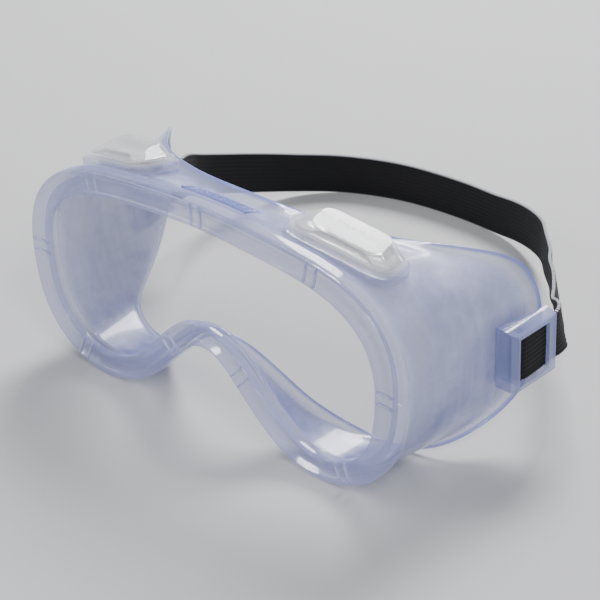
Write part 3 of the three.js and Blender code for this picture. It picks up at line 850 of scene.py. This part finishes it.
@dataclass
class Vents:
    """A covered vent on each side: seat, plate, sleeve, ring and cap."""

    outlines: Outlines
    vinyl: bpy.types.Material
    clear: bpy.types.Material
    # Clear plastic of the cap and louvre, whiter and denser than the plates: the extra white is painted
    # reflection of the softbox on the cap's top.
    white_with_painted_reflection: bpy.types.Material
    place = 1.97
    along = 0.42
    yaw = 10.0
    wall_out = 3.4
    rim_depth = 8.4
    pad: tuple[float, float, float] = (43, 21, 8.4)  # length, width and corner of the seat
    seat_wall: float = 5.6  # width of the seat round its hole
    soft: float = 0.3
    sleeve: tuple[float, float, float] = (28, 9.4, 3.0)
    ring: tuple[float, float, float] = (32.6, 14, 5.0)
    cap: tuple[float, float] = (36.4, 14.4)
    cap_top: tuple[float, float] = (26, 11)
    cap_rise: tuple[float, float] = (2.0, 4.6)  # front and rear height
    cap_shift: float = 0.9
    cap_low: float = 3.3
    cap_wall: float = 1.0
    fins: int = 9
    fin_pitch: float = 2.9

    def build(self, side: Side) -> None:
        """Makes one side's vent.

        Args:
            side: the wearer's side.
        """
        place = self.outlines.vent_frame(side)
        self._finish(self._seat(), f"vent_seat_{side.word}", place, self.vinyl, Slot.VINYL).ride("goggles")
        node = f"vent_plate_{side.word}"
        plate = softened_copy(node, f"vent_flange_{side.word}", self.clear, Slot.VENT, self.soft)
        plate.ride("goggles", node)
        ring = self._finish(self._ring(), f"vent_clamp_{side.word}", place, self.clear, Slot.VENT)
        ring.ride("goggles", f"vent_ring_{side.word}")
        cap = self._finish(self._hood(), f"vent_hood_{side.word}", place, self.white_with_painted_reflection, Slot.VENT)
        cap.modifier("SOLIDIFY", thickness=self.cap_wall * MM, offset=-1, use_even_offset=True)
        cap.ride(f"cap_{side.word}", f"vent_cap_{side.word}")
        louvre = self._finish(self._louvre(), f"vent_louvre_{side.word}", place, self.white_with_painted_reflection, Slot.VENT)
        louvre.ride(f"cap_{side.word}")

    def _finish(
        self, bm: bmesh.types.BMesh, name: str, place: Matrix, finish: bpy.types.Material, slot: Slot
    ) -> Piece:
        """Places a vent mesh and makes its piece.

        Args:
            bm: the mesh in the vent's own frame.
            name: the piece's name.
            place: the vent's frame.
            finish: the piece's material.
            slot: the record's slot for it.

        Returns:
            The new piece.
        """
        bmesh.ops.transform(bm, matrix=place, verts=bm.verts)
        if place.determinant() < 0:
            bmesh.ops.reverse_faces(bm, faces=bm.faces)
        return Piece(name, bm, finish, slot).crisp()

    def _seat(self) -> bmesh.types.BMesh:
        """The moulded seat, a low pad round the sleeve's hole."""
        bm = bmesh.new()
        self._tube(bm, self.pad, self.seat_wall, -1.2, 1.2)
        return bm

    def _tube(
        self, bm: bmesh.types.BMesh, size: tuple[float, float, float], wall: float, low: float, high: float
    ) -> None:
        """Adds an upright tube of a rounded outline.

        Args:
            bm: the mesh to add to.
            size: length, width and corner of its outside.
            wall: its thickness.
            low: height of its lower end.
            high: height of its upper end.
        """
        made = rounded_block(bm, (size[0], size[1], high - low), size[2], 0.05, low=low, steps=8)
        faces = {f for v in made for f in v.link_faces}
        flat = [f for f in faces if abs(f.normal.z) > 0.99 and f.calc_area() > 20 * MM * MM]
        bmesh.ops.inset_individual(bm, faces=flat, thickness=wall * MM, use_even_offset=True)
        loops = [e for f in flat for e in f.edges]
        bmesh.ops.delete(bm, geom=flat, context="FACES_ONLY")
        bmesh.ops.bridge_loops(bm, edges=loops)

    def _ring(self) -> bmesh.types.BMesh:
        """The ring that clamps the sleeve from inside."""
        bm = bmesh.new()
        self._tube(bm, self.ring, (self.ring[0] - self.sleeve[0]) / 2 - 0.3, -5.3, -3.9)
        return bm

    def _hood(self) -> bmesh.types.BMesh:
        """The cap's wedge-shaped hood, open below and at the rear."""
        bm = bmesh.new()
        cube = bmesh.ops.create_cube(bm, size=1.0)["verts"]
        for v in cube:
            top, rear = v.co.z > 0, v.co.y > 0
            length, width = self.cap_top if top else self.cap
            height = self.cap_low + (self.cap_rise[rear] if top else 0)
            shift = self.cap_shift if top else 0
            v.co = Vector((v.co.x * length, v.co.y * width + shift, height)) * MM
        bm.normal_update()
        upright = [e for e in bm.edges if len({v.co.z > (self.cap_low + 1) * MM for v in e.verts}) > 1]
        soften(bm, upright, 3.0, 6)
        upper = [f for f in bm.faces if f.normal.z > 0.8]
        soften(bm, list({e for f in upper for e in f.edges}), 0.6, 3)
        bmesh.ops.delete(bm, geom=[f for f in bm.faces if f.normal.z < -0.9], context="FACES_ONLY")
        for v in bm.verts:
            v.co.z = max(v.co.z, self.cap_low * MM)
        return bm

    def _louvre(self) -> bmesh.types.BMesh:
        """The upright fins behind the cap's top panel, and its two clips."""
        bm = bmesh.new()
        height = self.cap_rise[1] - self.cap_wall
        for k in range(self.fins):
            fin = rounded_block(bm, (0.7, 4.0, height), 0.3, 0.15, low=self.cap_low + 0.1, steps=2)
            offset = ((k - (self.fins - 1) / 2) * self.fin_pitch * MM, 3.6 * MM, 0)
            bmesh.ops.translate(bm, vec=offset, verts=fin)
        for end in (-1, 1):
            clip = rounded_block(bm, (3.0, 3.4, 4.2), 0.5, 0.3, low=-0.1, steps=3)
            bmesh.ops.translate(bm, vec=(end * 10.9 * MM, 0, 0), verts=clip)
        return bm


# ---- Loops and strap --------------------------------------------------------------------------


@dataclass
class Loops:
    """The two moulded strap loops."""

    finish: bpy.types.Material
    soft: float = 0.5

    def build(self, side: Side) -> Piece:
        """Softens a merged copy of the CAD loop.

        Args:
            side: the wearer's side.

        Returns:
            The finished piece.
        """
        node = f"strap_loop_{side.word}"
        piece = softened_copy(node, f"moulded_loop_{side.word}", self.finish, Slot.VINYL, self.soft)
        return piece.ride("goggles", node)


@dataclass
class Strap:
    """The elastic strap: one woven band, wrapped round the post in each loop."""

    outlines: Outlines
    finish: bpy.types.Material
    width: float = 17.0
    thickness: float = 1.4
    ribs: int = 10
    rib_depth: float = 0.22
    stations: int = 420
    post: tuple[float, float] = (89.0, 58.0)  # x and depth of the post
    wrap: float = 2.5  # radius of the band's middle round the post
    middle: float = 36.0  # height of the band's middle in the loops
    swivel: float = 77.52
    # x, distance behind the swivel, height of the lower edge, degrees that the lower edge stands out
    route: tuple[tuple[float, float, float, float], ...] = (
        (90.3, 0, 27.5, 3), (87.5, 6, 26.5, 9), (81.5, 12, 24, 13), (75, 21, 22.5, 12), (67, 30.5, 21, 8),
        (57, 41, 18, 4), (47, 54, 13.5, 2), (36, 66, 10.5, 0), (24.5, 78.5, 7.5, 0), (13.5, 86.5, 5, 0),
        (2, 92, 2.7, 0), (-10, 95, 0.8, 0), (-30, 96.5, 0.3, 0), (-58, 93.5, 0.3, 0), (-82, 84, 0.3, 0),
        (-97, 67.5, 2.5, 0), (-103, 46.5, 8.5, 0), (-104, 31.5, 13.5, 2), (-101.5, 19.5, 18.5, 4),
        (-96.5, 10, 23.5, 5), (-91.8, 3, 26.5, 3), (-90.3, 0, 27.5, 3),
    )

    def _wrapped_end(self, side: int) -> list[tuple[float, float, float, float]]:
        """The band's way from its sewn end round the post to the loop's rear.

        Args:
            side: 1 on the wearer's left, -1 on the right.

        Returns:
            The points: x, depth, height of the middle, and lean.
        """
        x, y = self.post
        turns = [math.pi + k * math.pi / 6 for k in range(7)]
        arc = [(x + self.wrap * math.cos(a), y + self.wrap * math.sin(a)) for a in turns]
        way = [(89.3, 68.2), (88.3, 64.0), *arc, (91.4, 63.0), (91.0, 68.5), (90.6, 73.5)]
        return [(side * px, py, self.middle, 0.0) for px, py in way]

    def way(self) -> tuple[SmoothLine, SmoothLine]:
        """The band's middle line and its lean along it.

        Returns:
            The line in the row frame, and a line whose x is the lean in degrees.
        """
        half = self.width / 2
        band = [(x, self.swivel + behind, low + half, lean) for x, behind, low, lean in self.route]
        points = self._wrapped_end(1) + band + self._wrapped_end(-1)[::-1]
        line = SmoothLine(tuple(Vector(p[:3]) * MM + self.outlines.shift for p in points))
        return line, SmoothLine(tuple(Vector((p[3], 0, 0)) for p in points))

    def profile(self) -> list[tuple[float, float]]:
        """The band's section: places across it and through it, in millimetres, ribbed on both faces."""
        per_rib = 4
        count = self.ribs * per_rib
        face = []
        for k in range(count + 1):
            across = (k / count - 0.5) * self.width
            rise = self.thickness / 2 - self.rib_depth * (0.5 + 0.5 * math.cos(2 * math.pi * k / per_rib))
            face.append((across, rise))
        return face + [(a, -r) for a, r in reversed(face)]

    def build(self) -> Piece:
        """Sweeps the ribbed section along the band's way.

        Returns:
            The finished piece.
        """
        line, leans = self.way()
        profile = self.profile()
        around = len(profile)
        frames = [self._section_frame(line, leans, i / self.stations) for i in range(self.stations + 1)]
        reach = [0.0]
        for before, after in zip(frames, frames[1:]):
            reach.append(reach[-1] + (after[0] - before[0]).length)
        bm = bmesh.new()

        def place(i: int, j: int) -> Vector:
            """The point of a station and a place round the section."""
            centre, tall, thick = frames[i]
            across, through = profile[j % around]
            return centre + tall * across * MM + thick * through * MM

        uv = bm.loops.layers.uv.new("weave")
        where = lofted_grid(bm, self.stations, around, place)
        for face in bm.faces:
            for loop in face.loops:
                i, j = where[loop.vert]
                loop[uv].uv = (reach[i], profile[j % around][0] / self.width + 0.5)
        for v in bm.verts:
            v.co.z = max(v.co.z, 0.0)
        close_up(bm)
        piece = Piece("head_strap", bm, self.finish, Slot.ELASTIC).crisp(60)
        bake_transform(piece.object)
        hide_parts("strap_band", "strap_end_left", "strap_end_right")
        return piece

    def _section_frame(self, line: SmoothLine, leans: SmoothLine, t: float) -> tuple[Vector, Vector, Vector]:
        """Where the band's section stands and how it is turned.

        Args:
            line: the band's middle line.
            leans: its lean along the way.
            t: share of the way.

        Returns:
            The section's middle, its upward direction and its thickness direction.
        """
        forward = line.heading(t)
        up = (Vector((0, 0, 1)) - forward * forward.z).normalized()
        side = forward.cross(up).normalized()
        angle = math.radians(leans.at(t).x)
        tall = up * math.cos(angle) - side * math.sin(angle)
        return line.at(t), tall, forward.cross(tall).normalized()


# ---- Stage ------------------------------------------------------------------------------------


@dataclass
class Studio:
    """A plain pale floor, soft lights and the camera."""

    outlines: Outlines
    finish: bpy.types.Material
    reach: float = 6.0
    camera_at: tuple[float, float, float] = (448.6, -415.2, 394.9)  # from the rim's middle, in millimetres
    camera_right: tuple[float, float, float] = (0.7314, 0.6811, -0.0337)
    camera_up: tuple[float, float, float] = (-0.3156, 0.3817, 0.8687)
    lens: float = 126.6

    def floor(self) -> None:
        """Lays the floor."""
        bm = bmesh.new()
        bmesh.ops.create_grid(bm, x_segments=1, y_segments=1, size=self.reach)
        mesh = bpy.data.meshes.new("floor")
        bm.to_mesh(mesh)
        bm.free()
        mesh.materials.append(self.finish)
        ground = bpy.data.objects.new("floor", mesh)
        bpy.context.scene.collection.objects.link(ground)

    def camera(self) -> None:
        """Sets up the camera."""
        data = bpy.data.cameras.new("camera")
        data.lens = self.lens
        data.sensor_width = 36.0
        data.clip_start = 0.01
        made = bpy.data.objects.new("camera", data)
        right, up = Vector(self.camera_right).normalized(), Vector(self.camera_up).normalized()
        basis = Matrix((right, up, right.cross(up))).transposed().to_4x4()
        basis.translation = Vector(self.camera_at) * MM + self.outlines.shift
        made.matrix_world = basis
        bpy.context.scene.collection.objects.link(made)
        bpy.context.scene.camera = made

    def light(self, name: str, place: Colour, size: float, power: float, colour: Colour = (1, 1, 1)) -> None:
        """Hangs a square soft light that looks at the object.

        Args:
            name: the light's name.
            place: where it hangs, in metres.
            size: its side.
            power: its power in watts.
            colour: its colour.
        """
        data = bpy.data.lights.new(name, "AREA")
        data.size, data.energy, data.color = size, power, colour
        made = bpy.data.objects.new(name, data)
        made.location = place
        aim = Vector((0, -0.03, 0.04)) - Vector(place)
        made.rotation_euler = aim.to_track_quat("-Z", "Y").to_euler()
        bpy.context.scene.collection.objects.link(made)

    def world(self) -> None:
        """Gives the room an even dim light."""
        world = bpy.data.worlds.new("room")
        world.use_nodes = True
        background = world.node_tree.nodes["Background"]
        background.inputs["Color"].default_value = (0.93, 0.95, 1.0, 1.0)
        background.inputs["Strength"].default_value = 0.5
        bpy.context.scene.world = world

    def build(self) -> None:
        """Makes the whole stage."""
        self.floor()
        self.camera()
        self.world()
        self.light("softbox", (-0.32, 0.62, 0.86), 0.42, 20)
        self.light("key", (0.9, -0.5, 1.0), 0.4, 9)
        self.light("fill", (-1.1, -0.8, 0.7), 0.6, 5)


def main() -> None:
    """Builds every piece in order."""
    logging.basicConfig(level=logging.INFO, format="%(message)s")
    outlines = Outlines()
    vinyl, clear = SoftVinyl().build(), ClearPlastic("clear_vent").build()
    lens = ClearPlastic("clear_lens", cover=0.015, edge_cover=0.35, roughness=0.03, ripple=0.01).build()
    Studio(outlines, PaleFloor().build()).build()
    # Lighter, denser vinyl for the tab ribs: painted glints along the lens tab lines.
    raised = SoftVinyl("painted_glint_vinyl", (0.30, 0.36, 0.80), (0.86, 0.88, 1.0), clear_cover=0.72).build()
    inked = SoftVinyl("mark_vinyl", deep=(0.12, 0.17, 0.60), pale=(0.36, 0.42, 0.86), clear_cover=0.6).build()
    thick = SoftVinyl("loop_vinyl", pale=(0.50, 0.55, 0.90), clear_cover=0.48).build()
    body = Body(outlines, vinyl, raised, inked)
    body.moulding()
    body.tab_ribs()
    body.brow_mark()
    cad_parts["lens"].data.materials.clear()
    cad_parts["lens"].data.materials.append(lens)
    # The hood's clear plastic is whiter and denser than the plates: the extra white is painted reflection of
    # the softbox on its top.
    hood = ClearPlastic("clear_hood", (0.95, 0.96, 1.0), 0.34, edge_cover=0.65, roughness=0.08).build()
    vents, loops = Vents(outlines, vinyl, clear, hood), Loops(thick)
    for side in Side:
        vents.build(side)
        loops.build(side)
    Strap(outlines, RibbedElastic().build()).build()


if __name__ == "__main__":
    main()
